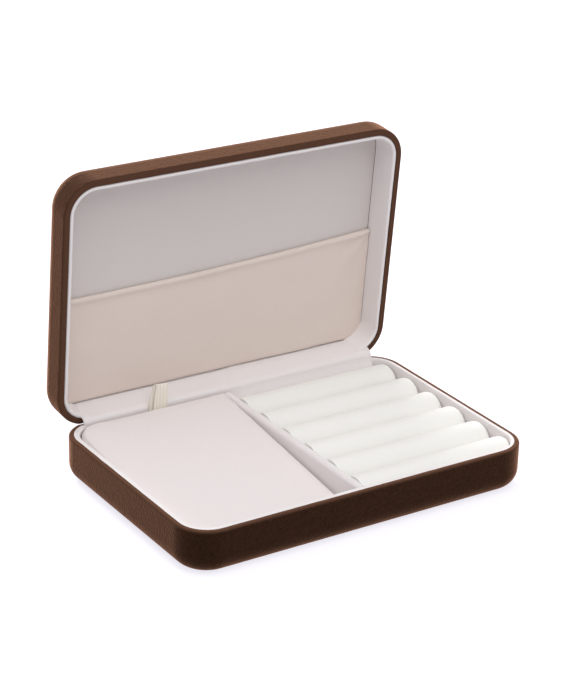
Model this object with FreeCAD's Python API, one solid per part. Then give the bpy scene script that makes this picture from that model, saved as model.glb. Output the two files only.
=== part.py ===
import FreeCAD, Part
import math
import os

from FreeCAD import Vector

# A hinged jewellery case in suede-finish leatherette, shown open.
# Millimetres and degrees. X runs along the hinge, +Y to the hinge side, +Z up.
# The origin is the centre of the underside.

# Outside of the closed case
CASE_WIDTH = 180.0
CASE_DEPTH = 122.0
BASE_HEIGHT = 21.5
LID_HEIGHT = 18.0
CORNER_RADIUS = 16.0
EDGE_RADIUS = 8.5
PARTING_GAP = 0.3
OPEN_ANGLE = 85.0

# Wall of each half, from the outside in
COVER_THICK = 0.8
SHELL_WALL = 1.2
SHELL_FLOOR = 1.2
SHELL_INSIDE_RADIUS = 5.5
TURN_IN_THICK = 0.9
TURN_IN_DEPTH = 7.0
RIM_EDGE_RADIUS = 1.0
HINGE_RIM_RADIUS = 2.4
LINING_GAP = 0.2
LINING_THICK = 1.9
LINING_BELOW_RIM = 0.1
FLOOR_LINING_THICK = 1.0
PANEL_THICK = 1.4
PANEL_GAP = 0.3
SHELL_CLEARANCE = 0.1
SOFT_CLEARANCE = 0.3

# Hinge under the flap: two three-knuckle hinges and a flat spring between them
HINGE_FROM_BACK = 1.3
HINGE_SPACING = 84.0
HINGE_LENGTH = 30.0
END_KNUCKLE_LENGTH = 7.0
KNUCKLE_GAP = 0.3
PIN_DIAMETER = 1.4
PIN_CLEARANCE = 0.05
LEAF_THICK = 0.5
LEAF_CLEARANCE = 0.3
RIVET_SHANK = 1.6
RIVET_HEAD = 3.0
RIVET_HEAD_THICK = 0.2
RIVET_HOLE_CLEARANCE = 0.03
RIVET_SPACING = 18.0
RIVET_DROP = 6.5
SPRING_LENGTH = 36.0
SPRING_THICK = 0.3
SPRING_SEAT = 0.15
SPRING_SETBACK = 1.4

# Fabric flap over the hinge
FLAP_FROM_SIDE = 9.0
FLAP_THICK = 0.7
FLAP_STAND_OFF = 0.3
FLAP_END_GAP = 0.5
FLAP_LAP = 3.0

# Padded divider and ring rolls in the base
DIVIDER_CENTRE = -1.1
DIVIDER_THICK = 4.4
DIVIDER_BELOW_RIM = 0.2
ROLL_COUNT = 6
ROLL_GAP = 0.3
ROLL_SEAT = 0.8
ROLL_LEFT_ROUND = 0.6
ROLL_RIGHT_ROUND = 3.0
ROLL_TIP_GAP = 0.5
ROLL_BACK_GAP = 1.4

# Lift-out pad: front edge on the floor, back edge on a rail
PAD_SLOPE = 7.0
PAD_BOARD_THICK = 1.8
PAD_CUSHION_THICK = 6.1
PAD_CROWN = 1.0
PAD_CROWN_INSET = 19.0
PAD_LEFT_CORNER = 10.0
PAD_RIGHT_CORNER = 3.5
PAD_SIDE_BOW = 0.4
PAD_LEFT_GAP = 0.7
PAD_RIGHT_GAP = 0.4
PAD_FRONT_GAP = 0.9
PAD_BACK_GAP = 1.7
PAD_SEAT = 0.05
RAIL_THICK = 6.0
# Edge of the cushion from the board up: inset and height as shares of its thickness
PAD_EDGE_PROFILE = ((0.1, 0.0), (0.0, 0.35), (0.05, 0.8), (0.28, 1.0))

# Satin pull at the pad's back edge
RIBBON_WIDTH = 7.4
RIBBON_THICK = 0.4
RIBBON_LOOP = 1.1
RIBBON_FROM_DIVIDER = 35.5
RIBBON_ABOVE_RIM = 13.2

# Pocket on the lid's panel, with an elastic in its hem
POCKET_GAP = 1.0
POCKET_THICK = 0.7
POCKET_MARGIN = 0.3
POCKET_EDGE_ROUND = 0.6
HEM_DIAMETER = 2.2
HEM_PAST_MIDDLE = -1.7
HEM_SLANT = 1.7
ELASTIC_DIAMETER = 1.2
ELASTIC_CLEARANCE = 0.05
ELASTIC_END_SETBACK = 1.0

# Places that follow from the sizes above
RIM_WIDTH = COVER_THICK + SHELL_WALL + TURN_IN_THICK
SHELL_INSET = COVER_THICK + SHELL_WALL
LINED_INSET = RIM_WIDTH + LINING_GAP + LINING_THICK
FLAP_INSET = RIM_WIDTH + FLAP_STAND_OFF + FLAP_THICK
FLOOR_TOP = COVER_THICK + SHELL_FLOOR
LINED_FLOOR = FLOOR_TOP + FLOOR_LINING_THICK
PANEL_TOP = FLOOR_TOP + PANEL_THICK
HINGE_Y = CASE_DEPTH / 2 - HINGE_FROM_BACK
HINGE_Z = BASE_HEIGHT + PARTING_GAP / 2
LEAF_BACK_Y = CASE_DEPTH / 2 - SHELL_INSET
LEAF_FRONT_Y = LEAF_BACK_Y - LEAF_THICK
STRAIGHT_WALL_Z = FLOOR_TOP + SHELL_INSIDE_RADIUS
LEAF_REACH = min(BASE_HEIGHT, LID_HEIGHT) + PARTING_GAP / 2 - STRAIGHT_WALL_Z - LEAF_CLEARANCE
SPRING_REACH = LEAF_REACH - SPRING_SETBACK
KNUCKLE_RADIUS = HINGE_Y - LEAF_FRONT_Y
NOTCH_RADIUS = KNUCKLE_RADIUS + LEAF_CLEARANCE
FLAP_BACK_Y = CASE_DEPTH / 2 - RIM_WIDTH - FLAP_STAND_OFF
FLAP_FRONT_Y = CASE_DEPTH / 2 - FLAP_INSET
LINED_X = CASE_WIDTH / 2 - LINED_INSET
LINED_FRONT_Y = LINED_INSET - CASE_DEPTH / 2
DIVIDER_LEFT = DIVIDER_CENTRE - DIVIDER_THICK / 2
DIVIDER_RIGHT = DIVIDER_CENTRE + DIVIDER_THICK / 2
CUT_SPAN = CASE_WIDTH + CASE_DEPTH
X_AXIS = Vector(1, 0, 0)


def outline(half_width, half_depth, radius, z, left_radius=None):
    """Closed wire of a rectangle with round corners, centred on the origin at height z."""
    left_radius = left_radius or radius
    edges = []
    for turn, (right, back) in enumerate(((1, 1), (-1, 1), (-1, -1), (1, -1))):
        corner_radius = radius if right > 0 else left_radius
        centre = Vector(
            right * (half_width - corner_radius), back * (half_depth - corner_radius), z
        )
        start, middle, end = (
            centre + corner_radius * Vector(math.cos(a), math.sin(a), 0)
            for a in (math.pi / 2 * (turn + share) for share in (0, 0.5, 1))
        )
        if edges:
            edges.append(Part.makeLine(edges[-1].lastVertex().Point, start))
        edges.append(Part.Arc(start, middle, end).toShape())
    edges.append(Part.makeLine(edges[-1].lastVertex().Point, edges[0].firstVertex().Point))
    return Part.Wire(edges)


def plan_plate(inset, z_low, z_high):
    """Upright prism of the case's plan, drawn in by inset on every side."""
    wire = outline(
        CASE_WIDTH / 2 - inset, CASE_DEPTH / 2 - inset, CORNER_RADIUS - inset, z_low
    )
    return Part.Face(wire).extrude(Vector(0, 0, z_high - z_low))


def loop_at(solid, z):
    """Edges of a solid that lie at height z."""
    return [e for e in solid.Edges if all(abs(v.Z - z) < 1e-6 for v in e.Vertexes)]


def plan_block(inset, z_low, z_high, edge_radius):
    """Plan plate with its lower edge rounded all round."""
    plate = plan_plate(inset, z_low, z_high)
    return plate.makeFillet(edge_radius, loop_at(plate, z_low))


def box_between(x_low, x_high, y_low, y_high, z_low, z_high):
    return Part.makeBox(
        x_high - x_low, y_high - y_low, z_high - z_low, Vector(x_low, y_low, z_low)
    )


def bar_along_x(radius, x_low, x_high, y, z):
    return Part.makeCylinder(radius, x_high - x_low, Vector(x_low, y, z), X_AXIS)


def extruded_along_x(points, x_low, x_high):
    """Prism along X of a closed outline given as (y, z) points."""
    corners = [Vector(x_low, y, z) for y, z in points]
    face = Part.Face(Part.makePolygon(corners + corners[:1]))
    return face.extrude(Vector(x_high - x_low, 0, 0))


# The two halves are alike, so each is first made mouth up, with its closed end at z = 0,
# its mouth at z = height and its hinge side at +Y. The hinge axis lies half the parting gap
# above the mouth.


def axis_height(height):
    return height + PARTING_GAP / 2


def hinge_rim_cutter(height, inset):
    """What is taken off the hinge-side rim so that the halves roll past each other."""
    back = CASE_DEPTH / 2
    y = back - HINGE_RIM_RADIUS
    z = height - HINGE_RIM_RADIUS
    half = CASE_WIDTH / 2
    corner = box_between(-half, half, y, back + HINGE_RIM_RADIUS, z, height + HINGE_RIM_RADIUS)
    return corner.cut(bar_along_x(HINGE_RIM_RADIUS - inset, -half, half, y, z))


def notch_spans():
    """X ranges of the two hinges and of the spring between them."""
    half = HINGE_LENGTH / 2
    spring = SPRING_LENGTH / 2
    spans = [(centre - half, centre + half) for centre in hinge_centres()]
    return spans + [(-spring, spring)]


def hinge_centres():
    return [-HINGE_SPACING / 2, HINGE_SPACING / 2]


def rivet_centres():
    return [c + side * RIVET_SPACING / 2 for c in hinge_centres() for side in (-1, 1)]


def knuckle_notches(height):
    """Round cuts in the hinge-side rim that clear the knuckles and the spring."""
    cuts = [
        bar_along_x(
            NOTCH_RADIUS, low - LEAF_CLEARANCE, high + LEAF_CLEARANCE, HINGE_Y, axis_height(height)
        )
        for low, high in notch_spans()
    ]
    return Part.makeCompound(cuts)


def leaf_slots(height):
    """Places where the cover's turn-in is left out, so that the leaves lie on the shell."""
    low_z = axis_height(height) - LEAF_REACH - LEAF_CLEARANCE
    cuts = [
        box_between(
            low - LEAF_CLEARANCE,
            high + LEAF_CLEARANCE,
            LEAF_BACK_Y - TURN_IN_THICK - LEAF_CLEARANCE,
            LEAF_BACK_Y,
            low_z,
            height + PARTING_GAP,
        )
        for low, high in notch_spans()
    ]
    return Part.makeCompound(cuts)


def shell_envelope(height):
    block = plan_block(
        COVER_THICK, COVER_THICK, height - COVER_THICK, EDGE_RADIUS - COVER_THICK
    )
    return block.cut(hinge_rim_cutter(height, COVER_THICK))


def shell_cavity(height, clearance):
    """Room inside the shell, less a clearance at its sides."""
    return plan_block(
        SHELL_INSET + clearance, FLOOR_TOP, height + EDGE_RADIUS, SHELL_INSIDE_RADIUS - clearance
    )


def half_shell(height):
    shell = shell_envelope(height).cut(shell_cavity(height, 0))
    shell = shell.cut(knuckle_notches(height))
    z = axis_height(height) - RIVET_DROP
    for x in rivet_centres():
        shell = shell.cut(rivet_hole(x, z))
    return shell


def half_cover(height):
    """Leatherette wrap: outside skin, rim, and the turn-in glued inside the shell."""
    block = plan_block(0, 0, height, EDGE_RADIUS)
    block = block.makeFillet(RIM_EDGE_RADIUS, loop_at(block, height))
    skin = block.cut(hinge_rim_cutter(height, 0)).cut(shell_envelope(height))
    low_z = height - TURN_IN_DEPTH
    mouth = plan_plate(RIM_WIDTH, low_z, height + EDGE_RADIUS)
    turn_in = plan_plate(SHELL_INSET, low_z, height - COVER_THICK)
    cover = skin.fuse(turn_in).cut(mouth).removeSplitter()
    return cover.cut(leaf_slots(height)).cut(knuckle_notches(height))


def wall_strip(height, outer_inset, inner_inset, low_z, high_z):
    """Strip that stands round the inside of the walls, trimmed by the shell's round edge."""
    outer = plan_plate(outer_inset, low_z, high_z)
    inner = plan_plate(inner_inset, low_z, high_z)
    return outer.cut(inner).common(shell_cavity(height, SHELL_CLEARANCE))


def flap_span(height, end_gap):
    """Stretch of the hinge wall that the flap covers."""
    half = CASE_WIDTH / 2 - FLAP_FROM_SIDE + end_gap
    return box_between(-half, half, 0, CASE_DEPTH, 0, height + EDGE_RADIUS)


def half_lining(height, low_z):
    """Padded velvet on card round the walls, left open where the flap lies."""
    outer_inset = RIM_WIDTH + LINING_GAP
    strip = wall_strip(height, outer_inset, LINED_INSET, low_z, height - LINING_BELOW_RIM)
    return strip.cut(flap_span(height, FLAP_END_GAP))


def rivet_hole(x, z):
    radius = RIVET_SHANK / 2 + RIVET_HOLE_CLEARANCE
    length = LEAF_THICK + SHELL_WALL + COVER_THICK
    return Part.makeCylinder(radius, length, Vector(x, LEAF_FRONT_Y, z), Vector(0, 1, 0))


def hinge_leaf(height, centre, knuckles):
    """Stamped leaf on the shell's inside, with rolled knuckles over the given X ranges."""
    axis_z = axis_height(height)
    half = HINGE_LENGTH / 2
    leaf = box_between(
        centre - half, centre + half, LEAF_FRONT_Y, LEAF_BACK_Y, axis_z - LEAF_REACH,
        axis_z - NOTCH_RADIUS,
    )
    for low, high in knuckles:
        tab = box_between(
            centre + low, centre + high, LEAF_FRONT_Y, LEAF_BACK_Y, axis_z - LEAF_REACH, axis_z
        )
        roll = bar_along_x(KNUCKLE_RADIUS, centre + low, centre + high, HINGE_Y, axis_z)
        leaf = leaf.fuse(tab).fuse(roll)
    bore = bar_along_x(
        PIN_DIAMETER / 2 + PIN_CLEARANCE, centre - half, centre + half, HINGE_Y, axis_z
    )
    leaf = leaf.removeSplitter().cut(bore)
    for side in (-1, 1):
        leaf = leaf.cut(rivet_hole(centre + side * RIVET_SPACING / 2, axis_z - RIVET_DROP))
    return leaf


def end_knuckles():
    half = HINGE_LENGTH / 2
    return [(-half, END_KNUCKLE_LENGTH - half), (half - END_KNUCKLE_LENGTH, half)]


def middle_knuckle():
    half = HINGE_LENGTH / 2 - END_KNUCKLE_LENGTH - KNUCKLE_GAP
    return [(-half, half)]


def hinge_rivets(height):
    """Flat-headed rivets through the leaves and the shell's wall."""
    z = axis_height(height) - RIVET_DROP
    along = Vector(0, 1, 0)
    rivets = []
    for x in rivet_centres():
        shank = Part.makeCylinder(
            RIVET_SHANK / 2, LEAF_THICK + SHELL_WALL, Vector(x, LEAF_FRONT_Y, z), along
        )
        head = Part.makeCylinder(
            RIVET_HEAD / 2, RIVET_HEAD_THICK, Vector(x, LEAF_FRONT_Y - RIVET_HEAD_THICK, z), along
        )
        rivets.append(shank.fuse(head).removeSplitter())
    return Part.makeCompound(rivets)


def lid_closed(shape):
    """Turn a half made mouth up into the lid, lying shut on the base."""
    middle = (BASE_HEIGHT + PARTING_GAP + LID_HEIGHT) / 2
    return shape.mirror(Vector(0, 0, middle), Vector(0, 0, 1))


def lid_open(shape):
    lid = lid_closed(shape)
    lid.rotate(Vector(0, HINGE_Y, HINGE_Z), X_AXIS, -OPEN_ANGLE)
    return lid


def strip_over_hinge(inner_radius, thick, x_low, x_high, base_reach, lid_reach):
    """Sheet that runs up the base wall, round the hinge axis and out along the open lid."""
    outer_radius = inner_radius + thick
    swing = math.radians(OPEN_ANGLE)
    away = Vector(0, math.sin(swing), math.cos(swing))
    axis = Vector(x_low, HINGE_Y, HINGE_Z)

    def spoke(radius, share):
        angle = swing * share
        return axis + radius * Vector(0, -math.cos(angle), math.sin(angle))

    base_end = Vector(0, 0, -base_reach)
    lid_end = away * lid_reach
    edges = [
        Part.makeLine(spoke(outer_radius, 0) + base_end, spoke(outer_radius, 0)),
        Part.Arc(*(spoke(outer_radius, s) for s in (0, 0.5, 1))).toShape(),
        Part.makeLine(spoke(outer_radius, 1), spoke(outer_radius, 1) + lid_end),
        Part.makeLine(spoke(outer_radius, 1) + lid_end, spoke(inner_radius, 1) + lid_end),
        Part.makeLine(spoke(inner_radius, 1) + lid_end, spoke(inner_radius, 1)),
        Part.Arc(*(spoke(inner_radius, s) for s in (1, 0.5, 0))).toShape(),
        Part.makeLine(spoke(inner_radius, 0), spoke(inner_radius, 0) + base_end),
        Part.makeLine(spoke(inner_radius, 0) + base_end, spoke(outer_radius, 0) + base_end),
    ]
    return Part.Face(Part.Wire(edges)).extrude(Vector(x_high - x_low, 0, 0))


def half_flap(height, low_z):
    """Flap along the hinge wall of one half, bent forward round the corners at its ends."""
    outer_inset = RIM_WIDTH + FLAP_STAND_OFF
    strip = wall_strip(height, outer_inset, FLAP_INSET, low_z, axis_height(height))
    return strip.common(flap_span(height, 0))


def hinge_flap():
    """Velvet strip from the base floor over the hinge to the lid's panel."""
    half = CASE_WIDTH / 2 - CORNER_RADIUS
    bend = strip_over_hinge(
        HINGE_Y - FLAP_BACK_Y, FLAP_THICK, -half, half, FLAP_LAP, FLAP_LAP
    )
    base_side = half_flap(BASE_HEIGHT, LINED_FLOOR)
    lid_side = lid_open(half_flap(LID_HEIGHT, PANEL_TOP))
    return bend.fuse(base_side).fuse(lid_side).removeSplitter()


def snap_spring():
    half = SPRING_LENGTH / 2
    inner = HINGE_Y - (LEAF_BACK_Y - SPRING_SEAT)
    return strip_over_hinge(inner, SPRING_THICK, -half, half, SPRING_REACH, SPRING_REACH)


def in_lined_base(shape):
    """Trim a soft piece to the lined room of the base, with its clearance."""
    room = plan_plate(LINED_INSET + SOFT_CLEARANCE, LINED_FLOOR, BASE_HEIGHT)
    return shape.common(room).common(shell_cavity(BASE_HEIGHT, SHELL_CLEARANCE))


def base_floor_lining():
    plate = plan_plate(LINED_INSET + PANEL_GAP, FLOOR_TOP, LINED_FLOOR)
    return plate.common(shell_cavity(BASE_HEIGHT, SHELL_CLEARANCE))


def compartment_divider():
    """Padded board with a round top, from the front lining to the flap."""
    radius = DIVIDER_THICK / 2
    shoulder = BASE_HEIGHT - DIVIDER_BELOW_RIM - radius
    front = LINED_FRONT_Y + SOFT_CLEARANCE
    length = FLAP_FRONT_Y - SOFT_CLEARANCE - front
    wall = box_between(DIVIDER_LEFT, DIVIDER_RIGHT, front, front + length, LINED_FLOOR, shoulder)
    top = Part.makeCylinder(radius, length, Vector(DIVIDER_CENTRE, front, shoulder), Vector(0, 1, 0))
    divider = wall.fuse(top).removeSplitter()
    return divider.common(shell_cavity(BASE_HEIGHT, SHELL_CLEARANCE))


def roll_pitch():
    return (FLAP_FRONT_Y - ROLL_BACK_GAP - LINED_FRONT_Y) / ROLL_COUNT


def ring_roll(number):
    """Velvet roll, cut square at the divider and round at the wall, glued to the floor."""
    radius = (roll_pitch() - ROLL_GAP) / 2
    y = FLAP_FRONT_Y - ROLL_BACK_GAP - roll_pitch() * (number - 0.5)
    z = LINED_FLOOR - ROLL_SEAT + radius
    low = DIVIDER_RIGHT + SOFT_CLEARANCE
    high = LINED_X - ROLL_TIP_GAP
    roll = bar_along_x(radius, low, high, y, z)
    for end_x, end_round in ((low, ROLL_LEFT_ROUND), (high, ROLL_RIGHT_ROUND)):
        rims = [e for e in roll.Edges if e.Closed and abs(e.CenterOfMass.x - end_x) < 1e-6]
        roll = roll.makeFillet(end_round, rims)
    return in_lined_base(roll)


def pad_left():
    return PAD_LEFT_GAP - LINED_X


def pad_width():
    return DIVIDER_LEFT - PAD_RIGHT_GAP - pad_left()


def pad_front_y():
    return LINED_FRONT_Y + PAD_FRONT_GAP


def pad_length():
    return (FLAP_FRONT_Y - PAD_BACK_GAP - pad_front_y()) / math.cos(math.radians(PAD_SLOPE))


def pad_underside(y):
    """Height of the pad's sloping underside at a given Y."""
    return LINED_FLOOR + PAD_SEAT + (y - pad_front_y()) * math.tan(math.radians(PAD_SLOPE))


def on_pad_slope(shape):
    """Lay a piece made flat, centred on the origin, on the pad's sloping underside."""
    shape.translate(Vector(pad_left() + pad_width() / 2, pad_length() / 2, 0))
    shape.rotate(Vector(0, 0, 0), X_AXIS, PAD_SLOPE)
    shape.translate(Vector(0, pad_front_y(), LINED_FLOOR + PAD_SEAT))
    return shape


def pad_board():
    wire = outline(pad_width() / 2, pad_length() / 2, PAD_RIGHT_CORNER, 0, PAD_LEFT_CORNER)
    return on_pad_slope(Part.Face(wire).extrude(Vector(0, 0, PAD_BOARD_THICK)))


def cushion_section(inset, z):
    """Pad outline at one height, with its sides drawn in between the corners."""
    half_width = pad_width() / 2 - inset
    half_length = pad_length() / 2 - inset
    edges = []
    for edge in outline(half_width, half_length, PAD_RIGHT_CORNER, z, PAD_LEFT_CORNER).Edges:
        if edge.Curve.TypeId == "Part::GeomLine":
            start = edge.firstVertex(True).Point
            end = edge.lastVertex(True).Point
            middle = (start + end) / 2
            inward = Vector(-middle.x, -middle.y, 0).normalize()
            edge = Part.Arc(start, middle + inward * PAD_SIDE_BOW, end).toShape()
        edges.append(edge)
    return Part.Wire(edges)


def pad_cushion():
    """Foam cushion on the board: full at its sides, drawn in below, crowned above."""
    sections = [
        cushion_section(inset * PAD_CUSHION_THICK, PAD_BOARD_THICK + height * PAD_CUSHION_THICK)
        for inset, height in PAD_EDGE_PROFILE
    ]
    top = PAD_BOARD_THICK + PAD_CUSHION_THICK + PAD_CROWN
    sections.append(cushion_section(PAD_CROWN_INSET, top))
    return on_pad_slope(Part.makeLoft(sections, True, True))


def pad_rear_rail():
    """Fabric-covered rail by the hinge wall that carries the pad's back edge."""
    back = -LINED_FRONT_Y - SOFT_CLEARANCE
    front = back - RAIL_THICK
    profile = [
        (front, LINED_FLOOR),
        (back, LINED_FLOOR),
        (back, pad_underside(back) - PAD_SEAT),
        (front, pad_underside(front) - PAD_SEAT),
    ]
    rail = extruded_along_x(profile, -LINED_X, DIVIDER_LEFT - SOFT_CLEARANCE)
    return in_lined_base(rail)


def pull_ribbon():
    """Loop of satin ribbon standing behind the pad's back edge."""
    x_high = DIVIDER_LEFT - RIBBON_FROM_DIVIDER + RIBBON_WIDTH / 2
    back = FLAP_FRONT_Y - SOFT_CLEARANCE
    radius = RIBBON_LOOP / 2
    y = back - radius
    low = pad_underside(back) + SOFT_CLEARANCE
    bend = BASE_HEIGHT + RIBBON_ABOVE_RIM - radius

    def loop(half):
        legs = box_between(x_high - RIBBON_WIDTH, x_high, y - half, y + half, low, bend)
        return legs.fuse(bar_along_x(half, x_high - RIBBON_WIDTH, x_high, y, bend))

    return loop(radius).cut(loop(radius - RIBBON_THICK)).removeSplitter()


def lid_panel():
    plate = plan_plate(LINED_INSET + PANEL_GAP, FLOOR_TOP, PANEL_TOP)
    return plate.common(shell_cavity(LID_HEIGHT, SHELL_CLEARANCE))


def along_hem(shape):
    """Turn a piece made along X to the hem's slanting line."""
    shape.rotate(Vector(0, 0, 0), Vector(0, 0, 1), -HEM_SLANT)
    shape.translate(Vector(0, -HEM_PAST_MIDDLE, 0))
    return shape


def hem_bar(radius):
    """Round bar along the hem, past both sides of the pocket."""
    height = PANEL_TOP + POCKET_GAP + POCKET_THICK / 2
    return along_hem(bar_along_x(radius, -CASE_WIDTH / 2, CASE_WIDTH / 2, 0, height))


def lid_pocket():
    """Fabric pocket sewn to the panel at its sides and hinge edge, with a rolled hem."""
    edge = LINED_INSET + PANEL_GAP + POCKET_MARGIN
    low = PANEL_TOP
    high = low + POCKET_GAP + POCKET_THICK
    outer = plan_plate(edge, low, high)
    outer = outer.makeFillet(POCKET_EDGE_ROUND, loop_at(outer, high))
    room = plan_plate(edge + POCKET_THICK, low, low + POCKET_GAP)
    past_hem = along_hem(box_between(-CUT_SPAN, CUT_SPAN, -CUT_SPAN, 0, low, high))
    sheet = outer.cut(room).cut(past_hem)
    between_sides = plan_plate(edge, low, high + HEM_DIAMETER)
    hem = hem_bar(HEM_DIAMETER / 2).common(between_sides)
    return sheet.fuse(hem).cut(hem_bar(ELASTIC_DIAMETER / 2 + ELASTIC_CLEARANCE))


def pocket_elastic():
    edge = LINED_INSET + PANEL_GAP + POCKET_MARGIN + ELASTIC_END_SETBACK
    between_sides = plan_plate(edge, 0, LID_HEIGHT)
    return hem_bar(ELASTIC_DIAMETER / 2).common(between_sides)


def hinge_pin(centre):
    half = HINGE_LENGTH / 2
    return bar_along_x(PIN_DIAMETER / 2, centre - half, centre + half, HINGE_Y, HINGE_Z)


parts = {
    "base_cover": half_cover(BASE_HEIGHT),
    "base_shell": half_shell(BASE_HEIGHT),
    "base_wall_lining": half_lining(BASE_HEIGHT, LINED_FLOOR),
    "base_floor_lining": base_floor_lining(),
    "compartment_divider": compartment_divider(),
    "pad_rear_rail": pad_rear_rail(),
    "base_hinge_rivets": hinge_rivets(BASE_HEIGHT),
    "snap_spring": snap_spring(),
    "hinge_flap": hinge_flap(),
    "pad_board": pad_board(),
    "pad_cushion": pad_cushion(),
    "pull_ribbon": pull_ribbon(),
    "lid_cover": lid_open(half_cover(LID_HEIGHT)),
    "lid_shell": lid_open(half_shell(LID_HEIGHT)),
    "lid_wall_lining": lid_open(half_lining(LID_HEIGHT, PANEL_TOP)),
    "lid_panel": lid_open(lid_panel()),
    "lid_pocket": lid_open(lid_pocket()),
    "pocket_elastic": lid_open(pocket_elastic()),
    "lid_hinge_rivets": lid_open(hinge_rivets(LID_HEIGHT)),
}
for number in range(1, ROLL_COUNT + 1):
    parts[f"ring_roll_{number}"] = ring_roll(number)
for side, centre in zip(("left", "right"), hinge_centres()):
    parts[f"base_hinge_leaf_{side}"] = hinge_leaf(BASE_HEIGHT, centre, end_knuckles())
    parts[f"lid_hinge_leaf_{side}"] = lid_open(hinge_leaf(LID_HEIGHT, centre, middle_knuckle()))
    parts[f"hinge_pin_{side}"] = hinge_pin(centre)

os.makedirs("parts", exist_ok=True)
for name, shape in parts.items():
    shape.exportStep(f"parts/{name}.step")
    box = shape.optimalBoundingBox(False)
    print(
        f"{name:22s} solids {len(shape.Solids)} valid {shape.isValid()} volume {shape.Volume:9.1f}"
        f"  x {box.XMin:7.2f} {box.XMax:7.2f}  y {box.YMin:7.2f} {box.YMax:7.2f}"
        f"  z {box.ZMin:7.2f} {box.ZMax:7.2f}"
    )
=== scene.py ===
import math

import bmesh
import bpy
from mathutils import Matrix, Vector, noise


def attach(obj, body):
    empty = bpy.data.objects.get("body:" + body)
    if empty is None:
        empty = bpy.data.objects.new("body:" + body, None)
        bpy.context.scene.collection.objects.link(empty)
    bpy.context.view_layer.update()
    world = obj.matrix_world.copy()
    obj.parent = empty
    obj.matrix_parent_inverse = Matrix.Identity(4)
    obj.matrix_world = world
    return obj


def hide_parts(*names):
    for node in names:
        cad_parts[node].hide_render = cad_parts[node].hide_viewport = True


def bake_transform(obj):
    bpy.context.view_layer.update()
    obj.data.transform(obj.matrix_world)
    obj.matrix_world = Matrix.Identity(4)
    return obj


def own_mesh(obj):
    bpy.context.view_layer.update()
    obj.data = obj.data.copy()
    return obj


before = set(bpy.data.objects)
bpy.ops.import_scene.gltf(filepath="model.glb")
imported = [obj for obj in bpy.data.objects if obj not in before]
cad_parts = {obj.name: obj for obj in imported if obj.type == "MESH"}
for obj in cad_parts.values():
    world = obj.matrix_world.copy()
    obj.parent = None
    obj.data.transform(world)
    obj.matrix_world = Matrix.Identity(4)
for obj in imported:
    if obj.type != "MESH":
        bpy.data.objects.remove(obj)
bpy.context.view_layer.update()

# Shells
# Two moulded ABS trays give the case its form. The cover is glued over them, so they show
# only in the slots where the hinge leaves lie.

MM = 0.001
SHELL_GRIT = 0.6


def linear(code):
    """Linear colour from an sRGB hex code."""
    parts = [int(code[i:i + 2], 16) / 255 for i in (1, 3, 5)]
    return [c / 12.92 if c <= 0.04045 else ((c + 0.055) / 1.055) ** 2.4 for c in parts] + [1.0]


def add_node(tree, kind, settings=None, inputs=None):
    """Add a shader node with its settings; an input takes a value or another node's output."""
    node = tree.nodes.new(kind)
    for name, value in (settings or {}).items():
        setattr(node, name, value)
    for name, value in (inputs or {}).items():
        if isinstance(value, bpy.types.NodeSocket):
            tree.links.new(value, node.inputs[name])
        else:
            node.inputs[name].default_value = value
    return node


def start_material(name, constants):
    """A material with one Principled shader; returns it with its tree, shader and coordinates."""
    material = bpy.data.materials.new(name)
    material.use_nodes = True
    tree = material.node_tree
    tree.nodes.clear()
    shader = add_node(tree, "ShaderNodeBsdfPrincipled", None, constants)
    add_node(tree, "ShaderNodeOutputMaterial", None, {"Surface": shader.outputs[0]})
    place = add_node(tree, "ShaderNodeTexCoord").outputs["Object"]
    return material, tree, shader, place


def dress(material, *names):
    """Give CAD nodes a material of their own."""
    for name in names:
        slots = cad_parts[name].data.materials
        slots.clear()
        slots.append(material)


# Moulded ABS: satin black, with the faint grit of the mould.
abs_plastic, tree, shader, place = start_material(
    "moulded_abs", {"Base Color": linear("#1d1c1b"), "IOR": 1.53}
)
grit = add_node(
    tree, "ShaderNodeTexNoise", None, {"Vector": place, "Scale": 1 / (SHELL_GRIT * MM)}
)
gloss = add_node(
    tree, "ShaderNodeMapRange", None,
    {"Value": grit.outputs["Fac"], "To Min": 0.45, "To Max": 0.7},
)
tree.links.new(gloss.outputs["Result"], shader.inputs["Roughness"])
dress(abs_plastic, "base_shell", "lid_shell")

# Covers
# One sheet of suede-finish leatherette for each half, glued round the shell and turned in over
# the rim. Its short nap was brushed, so edges that are seen at a slant look lighter. A paler band
# along the rim, where the cover turns over it, is a painted highlight for the top light that the
# rim's edge catches.

HINGE_Y = 59.7
HINGE_Z = 21.65
OPEN_ANGLE = math.radians(85)
NAP_TUFT = 1.1
NAP_DEPTH = 0.3
NAP_STROKE = 30.0
RIM_HIGHLIGHT = 1.2

# Suede-finish leatherette: dark, matt and mottled, with a warm bright edge from its nap. The tufts
# are drawn coarser than real ones, which would be finer than a pixel.
suede, tree, shader, place = start_material(
    "suede_finish_leatherette",
    {
        "Roughness": 1.0,
        "Specular IOR Level": 0.03,
        "Sheen Weight": 0.82,
        "Sheen Roughness": 0.38,
        "Sheen Tint": linear("#ffbd9b"),
    },
)
tufts = add_node(
    tree, "ShaderNodeTexNoise", None,
    {"Vector": place, "Scale": 1 / (NAP_TUFT * MM), "Detail": 3, "Roughness": 0.65},
)
strokes = add_node(
    tree, "ShaderNodeTexNoise", None,
    {"Vector": place, "Scale": 1 / (NAP_STROKE * MM), "Detail": 4, "Roughness": 0.6},
)
tuft_tone = add_node(
    tree, "ShaderNodeMapRange", None,
    {"Value": tufts.outputs["Fac"], "From Min": 0.3, "From Max": 0.7, "To Max": 0.65},
)
tone = add_node(
    tree, "ShaderNodeMath", {"operation": "MULTIPLY_ADD"},
    {0: strokes.outputs["Fac"], 1: 0.35, 2: tuft_tone.outputs["Result"]},
)
brown = add_node(
    tree, "ShaderNodeMix", {"data_type": "RGBA"},
    {0: tone.outputs[0], 6: linear("#180d07"), 7: linear("#382317")},
)
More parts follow.
